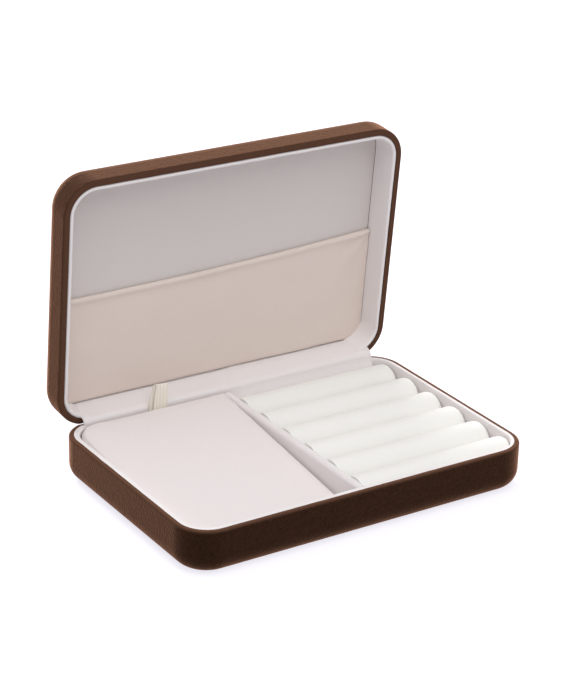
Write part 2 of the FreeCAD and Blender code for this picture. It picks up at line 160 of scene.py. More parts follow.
relief = add_node(
    tree, "ShaderNodeBump", None,
    {"Height": tufts.outputs["Fac"], "Strength": 0.8, "Distance": NAP_DEPTH * MM},
)
# Painted highlight: the brown turns paler in a narrow band at both halves' rims, for the top light
# that the rim's edge catches.
from_hinge = add_node(
    tree, "ShaderNodeVectorMath", {"operation": "SUBTRACT"},
    {0: place, 1: (0, HINGE_Y * MM, HINGE_Z * MM)},
)
below_base_rim = add_node(
    tree, "ShaderNodeVectorMath", {"operation": "DOT_PRODUCT"},
    {0: from_hinge.outputs[0], 1: (0, 0, -1)},
)
behind_lid_rim = add_node(
    tree, "ShaderNodeVectorMath", {"operation": "DOT_PRODUCT"},
    {0: from_hinge.outputs[0], 1: (0, math.sin(OPEN_ANGLE), math.cos(OPEN_ANGLE))},
)
from_rim = add_node(
    tree, "ShaderNodeMath", {"operation": "MAXIMUM"},
    {0: below_base_rim.outputs["Value"], 1: behind_lid_rim.outputs["Value"]},
)
painted_rim_highlight = add_node(
    tree, "ShaderNodeMapRange", None,
    {"Value": from_rim.outputs[0], "From Max": RIM_HIGHLIGHT * MM, "To Min": 1, "To Max": 0},
)
highlit_brown = add_node(
    tree, "ShaderNodeMix", {"data_type": "RGBA"},
    {0: painted_rim_highlight.outputs["Result"], 6: brown.outputs[2], 7: linear("#583d30")},
)
tree.links.new(highlit_brown.outputs[2], shader.inputs["Base Color"])
tree.links.new(relief.outputs["Normal"], shader.inputs["Normal"])
dress(suede, "base_cover", "lid_cover")

# Hinges
# Two pressed-steel hinges lie under the flap: leaves riveted to the shells, with rolled knuckles
# on a pin. Nickel plating gives them a soft, slightly warm gloss.

PLATING_SCRATCH = 0.8

steel, tree, shader, place = start_material(
    "nickel_plated_steel", {"Base Color": linear("#c3beb4"), "Metallic": 1.0}
)
scratches = add_node(
    tree, "ShaderNodeTexNoise", None,
    {"Vector": place, "Scale": 1 / (PLATING_SCRATCH * MM), "Detail": 4},
)
gloss = add_node(
    tree, "ShaderNodeMapRange", None,
    {"Value": scratches.outputs["Fac"], "To Min": 0.22, "To Max": 0.48},
)
tree.links.new(gloss.outputs["Result"], shader.inputs["Roughness"])
dress(
    steel, "base_hinge_leaf_left", "base_hinge_leaf_right", "lid_hinge_leaf_left",
    "lid_hinge_leaf_right", "hinge_pin_left", "hinge_pin_right", "base_hinge_rivets",
    "lid_hinge_rivets",
)

# Snap spring
# A strip of plated spring steel between the two hinges, tucked against both shells. It bends
# with the lid and snaps it open or shut.

SPRING_HALF = 18.0
SPRING_INNER = 0.85
SPRING_THICK = 0.3
SPRING_REACH = 8.9
BASE_STEPS = 8
BEND_STEPS = 12
LID_STEPS = 10
SHARP_ANGLE = math.radians(50)


def loft(name, rings, material):
    """Smooth mesh piece through rings of points in millimetres, with a cap on its two ends."""
    count = len(rings[0])
    faces = []
    for a in range(len(rings) - 1):
        b = a + 1
        for j in range(count):
            k = (j + 1) % count
            faces.append((a * count + j, a * count + k, b * count + k, b * count + j))
    faces.append(tuple(reversed(range(count))))
    faces.append(tuple(range((len(rings) - 1) * count, len(rings) * count)))
    mesh = bpy.data.meshes.new(name)
    mesh.from_pydata([Vector(p) * MM for ring in rings for p in ring], [], faces)
    return finish_mesh(name, mesh, material)


def finish_mesh(name, mesh, material):
    """Turn a mesh's faces outwards, shade it smooth but for its corners, and make it a piece."""
    work = bmesh.new()
    work.from_mesh(mesh)
    bmesh.ops.recalc_face_normals(work, faces=work.faces)
    work.to_mesh(mesh)
    work.free()
    mesh.shade_smooth()
    mesh.set_sharp_from_angle(angle=SHARP_ANGLE)
    mesh.materials.append(material)
    piece = bpy.data.objects.new(name, mesh)
    bpy.context.scene.collection.objects.link(piece)
    return piece


def hinge_stations(base_reach, lid_reach):
    """Steps up the base wall, round the hinge axis and out along the open lid, as turn and run."""
    stations = [(0, -base_reach * (1 - i / BASE_STEPS)) for i in range(BASE_STEPS)]
    stations += [(OPEN_ANGLE * i / BEND_STEPS, 0) for i in range(BEND_STEPS + 1)]
    return stations + [(OPEN_ANGLE, lid_reach * i / LID_STEPS) for i in range(1, LID_STEPS + 1)]


def at_hinge(turn, run, radius):
    """(y, z) of a step that passes the hinge axis at a radius."""
    return (
        HINGE_Y - radius * math.cos(turn) + run * math.sin(turn),
        HINGE_Z + radius * math.sin(turn) + run * math.cos(turn),
    )


spring_steps = hinge_stations(SPRING_REACH, SPRING_REACH)
spring_outline = [at_hinge(*step, SPRING_INNER + SPRING_THICK) for step in spring_steps]
spring_outline += [at_hinge(*step, SPRING_INNER) for step in reversed(spring_steps)]
spring = loft(
    "snap_spring_strip",
    [[(x, y, z) for y, z in spring_outline] for x in (-SPRING_HALF, 0, SPRING_HALF)],
    steel,
)
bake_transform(spring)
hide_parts("snap_spring")

# Wall linings
# White velvet over foam on card strips that stand inside both rims and end behind the flap. The
# velvet wraps over the card as a soft lip, and the rolls press the foam thinner in the base.

PILE = 0.35
PILE_DEPTH = 0.1
LINING_FROM_EDGE = 3.1
LINING_THICK = 1.9
LINING_PRESSED = 0.8
PRESSED_FROM_X = -5.0
PRESSED_RUN = 15.0
LINING_TAIL_THICK = 0.3
BASE_TAIL_X = 81.5
LID_TAIL_X = 77.5
LINING_END_X = 74.5
LINING_LIP = 0.9
LIP_OVERHANG = 0.8
LIP_OVER_RIM = 0.15
LIP_HEIGHT = 3.0
LIP_STEPS = 12
LINING_RUFFLE = 0.1
LINING_LIFT = 0.05
LINING_STEP = 2.0
BASE_LINING_FEET = (4.45, 3.1)
BASE_LINING_TOP = 21.62
LID_LINING_FEET = (4.45, 3.5)
LID_LINING_TOP = 18.0
CASE_HALF_WIDTH = 90.0
CASE_HALF_DEPTH = 61.0
CASE_CORNER = 16.0
CASE_SHUT_HEIGHT = 39.8


def velvet(name, tones, tint, roughness, sheen, relief):
    """Velvet whose pile lies between two tones; its relief is drawn coarser than real pile."""
    material, tree, shader, place = start_material(
        name,
        {
            "Roughness": roughness,
            "Specular IOR Level": 0.2,
            "Sheen Weight": sheen,
            "Sheen Roughness": 0.5,
            "Sheen Tint": linear(tint),
        },
    )
    pile = add_node(
        tree, "ShaderNodeTexNoise", None,
        {"Vector": place, "Scale": 1 / (PILE * MM), "Detail": 2, "Roughness": 0.6},
    )
    tone = add_node(
        tree, "ShaderNodeMix", {"data_type": "RGBA"},
        {0: pile.outputs["Fac"], 6: linear(tones[0]), 7: linear(tones[1])},
    )
    bump = add_node(
        tree, "ShaderNodeBump", None,
        {"Height": pile.outputs["Fac"], "Strength": relief, "Distance": PILE_DEPTH * MM},
    )
    tree.links.new(tone.outputs[2], shader.inputs["Base Color"])
    tree.links.new(bump.outputs["Normal"], shader.inputs["Normal"])
    return material


# White velvet: matt, with a faint bright edge from its short pile.
lining_velvet = velvet(
    "white_velvet", ("#e2dcdb", "#f0ebeb"), "#f4f2f6", roughness=0.9, sheen=0.35, relief=0.35
)


def unit(value):
    """A value held between 0 and 1."""
    return min(1, max(0, value))


def wall_line(inset, end_x, spacing):
    """Points and outward directions from the flap's right end round the front to its left."""
    radius = CASE_CORNER - inset
    cx = CASE_HALF_WIDTH - CASE_CORNER
    cy = CASE_HALF_DEPTH - CASE_CORNER
    first = math.acos((end_x - cx) / radius)
    corners = [(cx, cy, first, 0), (cx, -cy, 0, -math.pi / 2)]
    corners += [(-cx, -cy, -math.pi / 2, -math.pi), (-cx, cy, -math.pi, -math.pi - first)]
    line = []
    for x, y, start, end in corners:
        steps = max(4, round(radius * abs(end - start) / spacing))
        arc = []
        for i in range(steps + 1):
            angle = start + (end - start) * i / steps
            out = Vector((math.cos(angle), math.sin(angle)))
            arc.append((Vector((x, y)) + out * radius, out))
        if line:
            last, out = line[-1]
            run = arc[0][0] - last
            gaps = max(1, round(run.length / spacing))
            line += [(last + run * i / gaps, out) for i in range(1, gaps)]
        line += arc
    return line


def lining_strip(name, feet, top, in_roll_tray, to_place):
    """Padded strip with a round lip, swept along the wall of a half that lies mouth up."""
    rings = []
    for number, (point, out) in enumerate(wall_line(LINING_FROM_EDGE, LINING_END_X, LINING_STEP)):
        thick = LINING_THICK
        if in_roll_tray:
            share = unit((point.x - PRESSED_FROM_X) / PRESSED_RUN)
            thick += (LINING_PRESSED - LINING_THICK) * share
        tail_x = BASE_TAIL_X if in_roll_tray else LID_TAIL_X
        if point.y > 0 and abs(point.x) < tail_x:
            share = max(0, (abs(point.x) - LINING_END_X) / (tail_x - LINING_END_X))
            thick = LINING_TAIL_THICK + (thick - LINING_TAIL_THICK) * math.sqrt(share)
        ruffle = LINING_RUFFLE * noise.noise(Vector((number * 0.37, top, 0.5)))
        lift = LINING_LIFT * noise.noise(Vector((number * 0.21, top, 7.5)))
        ring = [(0, feet[0])]
        for i in range(LIP_STEPS + 1):
            angle = math.pi * i / LIP_STEPS
            reach = thick / 2
            lip = LINING_LIP
            if in_roll_tray and i < LIP_STEPS / 2:
                reach += LIP_OVERHANG
                lip = LIP_OVER_RIM
            ring.append((
                reach * math.cos(angle) - thick / 2 + ruffle,
                top + lift - lip * (1 - math.sin(angle)),
            ))
        ring.append((ruffle - thick, top - LIP_HEIGHT))
        ring.append((-thick, feet[1]))
        rings.append([to_place(*(point + out * side), z) for side, z in ring])
    piece = loft(name, rings, lining_velvet)
    return piece


def in_base(x, y, z):
    """Point of the base, which lies mouth up as it is."""
    return (x, y, z)


def in_lid(x, y, z):
    """Point of the open lid from its place in a lid that lies mouth up, in millimetres."""
    dy = y - HINGE_Y
    dz = CASE_SHUT_HEIGHT - z - HINGE_Z
    turn_cos = math.cos(OPEN_ANGLE)
    turn_sin = math.sin(OPEN_ANGLE)
    return (x, HINGE_Y + dy * turn_cos + dz * turn_sin, HINGE_Z - dy * turn_sin + dz * turn_cos)


base_strip = lining_strip(
    "base_wall_lining_strip", BASE_LINING_FEET, BASE_LINING_TOP, True, in_base
)
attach(base_strip, "base")
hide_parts("base_wall_lining")
lid_strip = lining_strip(
    "lid_wall_lining_strip", LID_LINING_FEET, LID_LINING_TOP, False, in_lid
)
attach(lid_strip, "lid")
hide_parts("lid_wall_lining")

# Floor lining and rear rail
# The floor is card with the same velvet. A rail covered with it stands at the hinge wall and
# carries the pad's back edge.

dress(lining_velvet, "base_floor_lining", "pad_rear_rail")

# Hinge flap
# A strip of velvet glued to the base floor, led up over the hinge and under the lid's panel.
# It hides the hinges and folds with the lid.

FLAP_CENTRE = 1.3
FLAP_HALF = 79.2
FLAP_LID_TRIM = 0.5
FLAP_INSET = 3.55
FLAP_THICK = 0.7
FLAP_BASE_REACH = 17.0
FLAP_LID_REACH = 14.5
FLAP_TAIL_RISE = 0.3
FLAP_TAIL_RUN = 3.0
FLAP_LEAN = 2.3
FLAP_ARCH = 0.8
FLAP_END_RISE = 0.5
FLAP_END_RUN = 6.0
FLAP_END_FADE = 2.0
FLAP_LEAN_RUN = 6.0
FLAP_LOOSE_RUN = 6.0
FLAP_FREE_MIDDLE = 3.0
FLAP_FREE_SPREAD = 9.0
DENT_DEPTH = 0.6
DENT_X = 1.0
DENT_SPREAD = 4.0
RIDGE_HEIGHT = 0.9
RIDGE_X = 9.5
RIDGE_SLANT = 0.15
RIDGE_SPREAD = 4.5
FLAP_SLACK = 0.15
FLAP_STEP = 1.5


def wall_y(x, inset):
    """Y of the case's hinge side, drawn in by inset, at a place along the case."""
    past = abs(x) - (CASE_HALF_WIDTH - CASE_CORNER)
    if past <= 0:
        return CASE_HALF_DEPTH - inset
    return CASE_HALF_DEPTH - CASE_CORNER + math.sqrt((CASE_CORNER - inset) ** 2 - past**2)


def flap_radius(x, run):
    """How far the cloth's middle passes from the hinge axis, with its wrinkle by the divider."""
    tail = max(0, run - FLAP_LID_REACH + FLAP_TAIL_RUN) / FLAP_TAIL_RUN
    dent = DENT_DEPTH * math.exp(-(((x - DENT_X) / DENT_SPREAD) ** 2))
    ridge = RIDGE_HEIGHT * math.exp(-(((x - RIDGE_X - RIDGE_SLANT * run) / RIDGE_SPREAD) ** 2))
    slack = FLAP_SLACK * noise.noise(Vector((x / 17, run / 12, 0.3)))
    free = math.exp(-(((run - FLAP_FREE_MIDDLE) / FLAP_FREE_SPREAD) ** 2))
    low = unit(-run / FLAP_LEAN_RUN)
    loose = unit(x / FLAP_LOOSE_RUN)
    arch = FLAP_ARCH * math.sin(math.pi * max(0, run) / FLAP_LID_REACH) * loose
    lean = FLAP_LEAN * low**2 * (3 - 2 * low) * loose
    end = FLAP_END_RISE * unit((abs(x) - CASE_HALF_WIDTH + CASE_CORNER) / FLAP_END_RUN)
    end *= unit(1 - run / FLAP_END_FADE)
    radius = HINGE_Y - wall_y(x, FLAP_INSET) + FLAP_TAIL_RISE * tail**2 + lean + arch + end
    return radius + (ridge - dent + slack) * free


flap_rings = []
flap_count = round(2 * FLAP_HALF / FLAP_STEP)
flap_steps = hinge_stations(FLAP_BASE_REACH, FLAP_LID_REACH)
for i in range(flap_count + 1):
    across = 2 * i / flap_count - 1
    front = []
    back = []
    for turn, run in flap_steps:
        x = FLAP_CENTRE + across * (
            FLAP_HALF - FLAP_LID_TRIM * (max(0, run) / FLAP_LID_REACH) ** 2
        )
        radius = flap_radius(x, run)
        front.append((x, *at_hinge(turn, run, radius + FLAP_THICK / 2)))
        back.append((x, *at_hinge(turn, run, radius - FLAP_THICK / 2)))
    flap_rings.append(front + back[::-1])
flap = loft("hinge_flap_cloth", flap_rings, lining_velvet)
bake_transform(flap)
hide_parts("hinge_flap")

# Compartment divider
# A card wall under thin foam and velvet, with a round top. It stands on the floor from the
# front lining to the flap.

DIVIDER_CENTRE = -1.1
DIVIDER_HALF = 2.2
DIVIDER_FRONT = -55.7
DIVIDER_BACK = 56.8
DIVIDER_FOOT = 3.05
DIVIDER_TOP = 21.3
DIVIDER_SHOULDER = 6.0
DIVIDER_SLACK = 0.12
DIVIDER_RIPPLE = 0.1
DIVIDER_WAVE = 0.12
DIVIDER_END_PINCH = 0.18
DIVIDER_END_RUN = 0.8
DIVIDER_STEPS = 57
DIVIDER_ROUND_STEPS = 12

divider_rings = []
for i in range(DIVIDER_STEPS + 1):
    y = DIVIDER_FRONT + (DIVIDER_BACK - DIVIDER_FRONT) * i / DIVIDER_STEPS
    end = min(y - DIVIDER_FRONT, DIVIDER_BACK - y)
    fullness = 1 - DIVIDER_END_PINCH * math.exp(-end / DIVIDER_END_RUN)
    lean = DIVIDER_RIPPLE * noise.noise(Vector((y / 15, 3.1, 0)))
    ripple = DIVIDER_RIPPLE * noise.noise(Vector((y / 9, 1.7, 0)))
    half = (DIVIDER_HALF - DIVIDER_SLACK + ripple) * fullness
    top = DIVIDER_TOP - (1 - fullness) + DIVIDER_WAVE * noise.noise(Vector((y / 12, 5.3, 0)))
    shoulder = top - DIVIDER_SHOULDER
    ring = [(DIVIDER_CENTRE + half, y, DIVIDER_FOOT), (DIVIDER_CENTRE + half, y, shoulder)]
    for j in range(DIVIDER_ROUND_STEPS + 1):
        angle = math.pi * j / DIVIDER_ROUND_STEPS
        x = DIVIDER_CENTRE + lean + half * math.cos(angle)
        ring.append((x, y, top - half + half * math.sin(angle)))
    ring += [(DIVIDER_CENTRE - half, y, shoulder), (DIVIDER_CENTRE - half, y, DIVIDER_FOOT)]
    divider_rings.append(ring)
divider = loft("compartment_divider_pad", divider_rings, lining_velvet)
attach(divider, "base")
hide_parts("compartment_divider")

# Ring rolls
# Six foam rods in sleeves of ecru velvet, glued side by side to the floor. Their cut left ends
# stand at the divider, and rings are pushed into the grooves between them.

ROLL_COUNT = 6
ROLL_PITCH = 18.617
ROLL_RADIUS = 9.1
ROLL_AXIS_HEIGHT = 11.8
ROLL_LEFT = 1.45
ROLL_RIGHT = 85.6
ROLL_LEFT_ROUND = 0.15
ROLL_RIGHT_ROUND = 3.0
ROLL_FLOOR = 3.05
ROLL_BACK_LIMIT = 55.7
ROLL_CORNER_REACH = 11.7
ROLL_RIPPLE = 0.1
ROLL_STEP = 2.4
ROLL_END_TURNS = (0, 0.3, 0.55, 0.8)
ROLL_FACETS = 26
ROLL_SWELL_CAP = 0.3
SWELL_PRESSURE = 4.0
SWELL_FRAMES = 20
GLUE_HEIGHT = 0.3
FOAM_CELL = 0.6

# Polyurethane foam, full of cells, seen where a rod is cut off at the divider. Its dark blue-grey
# is painted shade for the narrow gap between the cut end and the divider.
foam, tree, shader, place = start_material("polyurethane_foam_painted_shade", {"Roughness": 0.95})
cells = add_node(
    tree, "ShaderNodeTexVoronoi", None, {"Vector": place, "Scale": 1 / (FOAM_CELL * MM)}
)
shaded_blue_grey = add_node(
    tree, "ShaderNodeMix", {"data_type": "RGBA"},
    {0: cells.outputs["Distance"], 6: linear("#bcc2cd"), 7: linear("#a4abb8")},
)
tree.links.new(shaded_blue_grey.outputs[2], shader.inputs["Base Color"])

# Ecru velvet: as the lining's, a little yellower and more matt.
roll_velvet = velvet(
    "ecru_velvet", ("#e8e6e2", "#f4f3f0"), "#f5f4ee", roughness=0.92, sheen=0.3, relief=0.35
)


def swell(piece, pinned, cap):
    """Blow a padded piece up as cloth, hold its pinned points, and cap how far the rest move."""
    rest = [v.co.copy() for v in piece.data.vertices]
    group = piece.vertex_groups.new(name="glued")
    group.add(pinned, 1.0, "REPLACE")
    cloth = piece.modifiers.new("foam", "CLOTH")
    cloth.settings.quality = 6
    cloth.settings.mass = 0.2
    cloth.settings.use_pressure = True
    cloth.settings.uniform_pressure_force = SWELL_PRESSURE
    cloth.settings.vertex_group_mass = "glued"
    cloth.settings.effector_weights.gravity = 0
    scene = bpy.context.scene
    for number in range(1, SWELL_FRAMES + 1):
        scene.frame_set(number)
    shaped = piece.evaluated_get(bpy.context.evaluated_depsgraph_get())
    places = [v.co.copy() for v in shaped.data.vertices]
    piece.modifiers.remove(cloth)
    piece.vertex_groups.remove(group)
    scene.frame_set(1)
    for vertex, start, end in zip(piece.data.vertices, rest, places):
        move = end - start
        if move.length > cap * MM:
            move *= cap * MM / move.length
        vertex.co = start + move
    piece.data.update()


def refine(piece):
    """Round a padded piece's facets off by one level of subdivision."""
    fine = piece.modifiers.new("fine", "SUBSURF")
    fine.levels = 1
    fine.render_levels = 1


for number in range(1, ROLL_COUNT + 1):
    roll_y = ROLL_BACK_LIMIT - ROLL_PITCH * (number - 0.5)
    rings = []
    first = ROLL_LEFT + ROLL_LEFT_ROUND
    last = ROLL_RIGHT - ROLL_RIGHT_ROUND
    lengths = round((last - first) / ROLL_STEP)
    stations = []
    for turn in ROLL_END_TURNS:
        turn *= math.pi / 2
        stations.append((
            first - ROLL_LEFT_ROUND * math.cos(turn), ROLL_LEFT_ROUND * (1 - math.sin(turn))
        ))
    stations += [(first + (last - first) * i / lengths, 0) for i in range(lengths + 1)]
    for turn in reversed(ROLL_END_TURNS):
        turn *= math.pi / 2
        stations.append((
            last + ROLL_RIGHT_ROUND * math.cos(turn), ROLL_RIGHT_ROUND * (1 - math.sin(turn))
        ))
    cx = CASE_HALF_WIDTH - CASE_CORNER
    cy = CASE_HALF_DEPTH - CASE_CORNER
    for x, inset in stations:
        bump = ROLL_RIPPLE * noise.noise(Vector((x / 20, number * 2.7, 0)))
        ring = []
        for j in range(ROLL_FACETS):
            angle = 2 * math.pi * j / ROLL_FACETS
            radius = ROLL_RADIUS - inset + bump
            y = roll_y + radius * math.cos(angle)
            z = max(ROLL_AXIS_HEIGHT + radius * math.sin(angle), ROLL_FLOOR)
            out = Vector((x - cx, abs(y) - cy))
            if out.x > 0 and out.y > 0 and out.length > ROLL_CORNER_REACH:
                out *= ROLL_CORNER_REACH / out.length
            ring.append((cx + out.x, math.copysign(cy + out.y, y), z))
        rings.append(ring)
    roll = loft(f"ring_roll_sleeve_{number}", rings, roll_velvet)
    # The left cap shows the foam, whose dark blue-grey is painted shade against the divider.
    roll.data.materials.append(foam)
    roll.data.polygons[len(roll.data.polygons) - 2].material_index = 1
    glued = (ROLL_FLOOR + GLUE_HEIGHT) * MM
    floor = [v.index for v in roll.data.vertices if v.co.z < glued]
    swell(roll, floor, ROLL_SWELL_CAP)
    refine(roll)
    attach(roll, "base")
    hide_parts(f"ring_roll_{number}")

# Lift-out pad
# A fibreboard covered by foam and pale velvet, which lies with its front edge on the floor and
# its back edge on the rail. A ribbon at its back edge pulls it out.

PAD_SLOPE = math.radians(7)
PAD_CENTRE_X = -44.15
PAD_HALF_WIDTH = 40.7
PAD_HALF_LENGTH = 56.0
PAD_FRONT_Y = -55.1
PAD_FRONT_Z = 3.05
PAD_BOARD = 1.85
PAD_FOAM = 5.0
PAD_CROWN = 1.8
PAD_LEFT_CORNER = 11.1
PAD_RIGHT_CORNER = 3.5
PAD_EDGE = 1.6
PAD_UNDER_EDGE = 1.2
PAD_WAIST = 0.4
PAD_CROWN_RUN = 14.0
PAD_STEP = 2.6
PAD_CROWD = 0.55
PAD_SWELL_CAP = 0.4
BOARD_FIBRE = 0.9

# Fibreboard: dull brown-grey, mottled by its fibres.
fibreboard, tree, shader, place = start_material("fibreboard", {"Roughness": 0.85})
fibres = add_node(
    tree, "ShaderNodeTexNoise", None,
    {"Vector": place, "Scale": 1 / (BOARD_FIBRE * MM), "Detail": 5},
)
dull = add_node(
    tree, "ShaderNodeMix", {"data_type": "RGBA"},
    {0: fibres.outputs["Fac"], 6: linear("#8d7b62"), 7: linear("#b7a68c")},
)
tree.links.new(dull.outputs[2], shader.inputs["Base Color"])
dress(fibreboard, "pad_board")

# Pale velvet: the pinkest of the whites, with a flatter pile than the lining.
pad_velvet = velvet(
    "pale_velvet", ("#e2dad9", "#efe8e8"), "#f4f0f1", roughness=0.9, sheen=0.3, relief=0.3
)


def pad_grid_place(across, along):
    """Place on the pad's plan, and its distance from the edge, for a point of a square grid."""
    corner = PAD_LEFT_CORNER if across < 0 else PAD_RIGHT_CORNER
    x = across * PAD_HALF_WIDTH
    y = along * PAD_HALF_LENGTH
    past_x = abs(x) - (PAD_HALF_WIDTH - corner)
    past_y = abs(y) - (PAD_HALF_LENGTH - corner)
    if past_x <= 0 or past_y <= 0:
        return x, y, min(PAD_HALF_WIDTH - abs(x), PAD_HALF_LENGTH - abs(y))
    far = max(past_x, past_y)
    turn = math.pi / 4 * min(past_x, past_y) / far
    if past_y > past_x:
        turn = math.pi / 2 - turn
    x = math.copysign(PAD_HALF_WIDTH - corner + far * math.cos(turn), x)
    y = math.copysign(PAD_HALF_LENGTH - corner + far * math.sin(turn), y)
    return x, y, max(0, corner - far)


def pad_height(edge, upper):
    """Height over the board of the cushion's upper or lower face, by distance from its edge."""
    waist = PAD_WAIST * PAD_FOAM
    if upper:
        near = min(edge / PAD_EDGE, 1)
        crown = PAD_CROWN * (1 - math.exp(-edge / PAD_CROWN_RUN))
        return waist + (PAD_FOAM - waist) * math.sqrt(1 - (1 - near) ** 2) + crown
    near = min(edge / PAD_UNDER_EDGE, 1)
    return waist * (1 - math.sqrt(1 - (1 - near) ** 2))


def graded(count, crowd):
    """Steps from -1 to 1 that crowd together towards both ends."""
    steps = [2 * i / count - 1 for i in range(count + 1)]
    return [(1 - crowd) * s + crowd * math.sin(s * math.pi / 2) for s in steps]


columns = graded(round(2 * PAD_HALF_WIDTH / PAD_STEP), PAD_CROWD)
rows = graded(round(2 * PAD_HALF_LENGTH / PAD_STEP), PAD_CROWD)
work = bmesh.new()
layers = {}
for upper in (True, False):
    for i, across in enumerate(columns):
        for j, along in enumerate(rows):
            rim = i in (0, len(columns) - 1) or j in (0, len(rows) - 1)
            if rim and not upper:
                layers[upper, i, j] = layers[True, i, j]
                continue
            x, y, edge = pad_grid_place(across, along)
            layers[upper, i, j] = work.verts.new(
                Vector((x, y, PAD_BOARD + pad_height(edge, upper))) * MM
            )
    for i in range(len(columns) - 1):
        for j in range(len(rows) - 1):
            ring = ((i, j), (i + 1, j), (i + 1, j + 1), (i, j + 1))
            work.faces.new([layers[(upper, *p)] for p in ring])
mesh = bpy.data.meshes.new("pad_cushion_velvet")
work.to_mesh(mesh)
work.free()
cushion = finish_mesh("pad_cushion_velvet", mesh, pad_velvet)
glued = (PAD_BOARD + GLUE_HEIGHT) * MM
board = [v.index for v in cushion.data.vertices if v.co.z < glued]
swell(cushion, board, PAD_SWELL_CAP)
refine(cushion)
cushion.data.transform(
    Matrix.Translation(Vector((PAD_CENTRE_X, PAD_FRONT_Y, PAD_FRONT_Z)) * MM)
    @ Matrix.Rotation(PAD_SLOPE, 4, "X")
    @ Matrix.Translation(Vector((0, PAD_HALF_LENGTH, 0)) * MM)
)
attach(cushion, "pad")
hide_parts("pad_cushion")

# Pull ribbon
# A loop of pale gold satin ribbon, glued under the pad's back edge. It stands up by itself and
# is pressed down by the shut lid.

RIBBON_RIGHT = -34.8
RIBBON_WIDTH = 7.4
RIBBON_PINCH = 0.2
RIBBON_STAGGER = 2.6
RIBBON_Y = 56.25
RIBBON_HALF_LOOP = 0.4
RIBBON_THICK = 0.25
RIBBON_FOOT = 17.2
RIBBON_TOP = 34.6
RIBBON_GATHER = 0.6
RIBBON_LEAN = 0.5
RIBBON_TILT = 0.7
RIBBON_STEPS = 10
RIBBON_LOOP_STEPS = 12
RIBBON_COLUMNS = 8
SATIN_RIB = 1.76
SATIN_DEPTH = 0.05
WAVE_RATE = 20

# Satin: lengthwise threads with a soft gloss across them. They are drawn as ribs, far coarser than
# real threads, so that they show. Blender's wave texture turns WAVE_RATE radians per scaled metre.
satin, tree, shader, place = start_material(
    "gold_satin",
    {
        "Roughness": 0.38,
        "Specular IOR Level": 0.5,
        "Sheen Weight": 0.25,
        "Sheen Tint": linear("#fff3d8"),
    },
)
threads = add_node(
    tree, "ShaderNodeTexWave", {"bands_direction": "X"},
    {"Vector": place, "Scale": 2 * math.pi / (WAVE_RATE * SATIN_RIB * MM), "Distortion": 0.4},
)
gold = add_node(
    tree, "ShaderNodeMix", {"data_type": "RGBA"},
    {0: threads.outputs["Fac"], 6: linear("#ece4d4"), 7: linear("#f6f1e6")},
)
relief = add_node(
    tree, "ShaderNodeBump", None,
    {"Height": threads.outputs["Fac"], "Strength": 0.15, "Distance": SATIN_DEPTH * MM},
)
tree.links.new(gold.outputs[2], shader.inputs["Base Color"])
tree.links.new(relief.outputs["Normal"], shader.inputs["Normal"])


def ribbon_line(half):
    """(y, z) points up the ribbon's front, over its loop and down its back."""
    bend = RIBBON_TOP - RIBBON_HALF_LOOP
    rise = bend - RIBBON_FOOT
    line = [(RIBBON_Y - half, RIBBON_FOOT + rise * i / RIBBON_STEPS) for i in range(RIBBON_STEPS)]
    for i in range(RIBBON_LOOP_STEPS + 1):
        angle = math.pi * i / RIBBON_LOOP_STEPS
        line.append((RIBBON_Y - half * math.cos(angle), bend + half * math.sin(angle)))
    for i in range(1, RIBBON_STEPS + 1):
        line.append((RIBBON_Y + half, bend - rise * i / RIBBON_STEPS))
    return line


outer = ribbon_line(RIBBON_HALF_LOOP + RIBBON_THICK / 2)
inner = ribbon_line(RIBBON_HALF_LOOP - RIBBON_THICK / 2)
middle = ribbon_line(RIBBON_HALF_LOOP)
ribbon_rings = []
for i in range(RIBBON_COLUMNS + 1):
    across = 1 - i / RIBBON_COLUMNS
    ring = []
    for (y, z), (middle_y, _) in zip(outer + inner[::-1], middle + middle[::-1]):
        share = (z - RIBBON_FOOT) / (RIBBON_TOP - RIBBON_FOOT)
        behind = 0.5 + 0.5 * (middle_y - RIBBON_Y) / RIBBON_HALF_LOOP
        width = RIBBON_WIDTH * (1 - RIBBON_PINCH * share**2)
        stagger = RIBBON_STAGGER * behind * (1 - RIBBON_GATHER * share)
        x = RIBBON_RIGHT - width * across - stagger
        tilt = RIBBON_TILT * share * (1 - across)
        ring.append((x, y - RIBBON_LEAN * share**2, z - tilt))
    ribbon_rings.append(ring)
ribbon = loft("pull_ribbon_loop", ribbon_rings, satin)
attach(ribbon, "pad")
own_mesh(ribbon)
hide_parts("pull_ribbon")

# Lid panel
# A card cut to the lid's inside and covered with a flatter velvet, drawn greyer as painted shade
# for the inside of the open lid. It is glued into the lid, within the wall lining.

PANEL_INSET = 4.9
PANEL_FOOT = 2.0
PANEL_TOP = 3.4
PANEL_EDGE = 0.5
PANEL_EDGE_STEPS = 5
PANEL_CORNER_STEPS = 10

# Flat velvet: the flattest pile, and greyer than the other whites as painted shade for the lid's
# hollow.
panel_velvet_painted_shade = velvet(
    "flat_velvet_painted_shade", ("#cec7c4", "#dcd6d3"), "#f1eef0", roughness=0.9, sheen=0.3, relief=0.25
)


def round_outline(inset, corner_steps):
    """Points round the case's plan, drawn in by inset."""
    radius = CASE_CORNER - inset
    cx = CASE_HALF_WIDTH - CASE_CORNER
    cy = CASE_HALF_DEPTH - CASE_CORNER
    points = []
    for turn, (x, y) in enumerate(((cx, cy), (-cx, cy), (-cx, -cy), (cx, -cy))):
        for i in range(corner_steps + 1):
            angle = math.pi / 2 * (turn + i / corner_steps)
            points.append((x + radius * math.cos(angle), y + radius * math.sin(angle)))
    return points


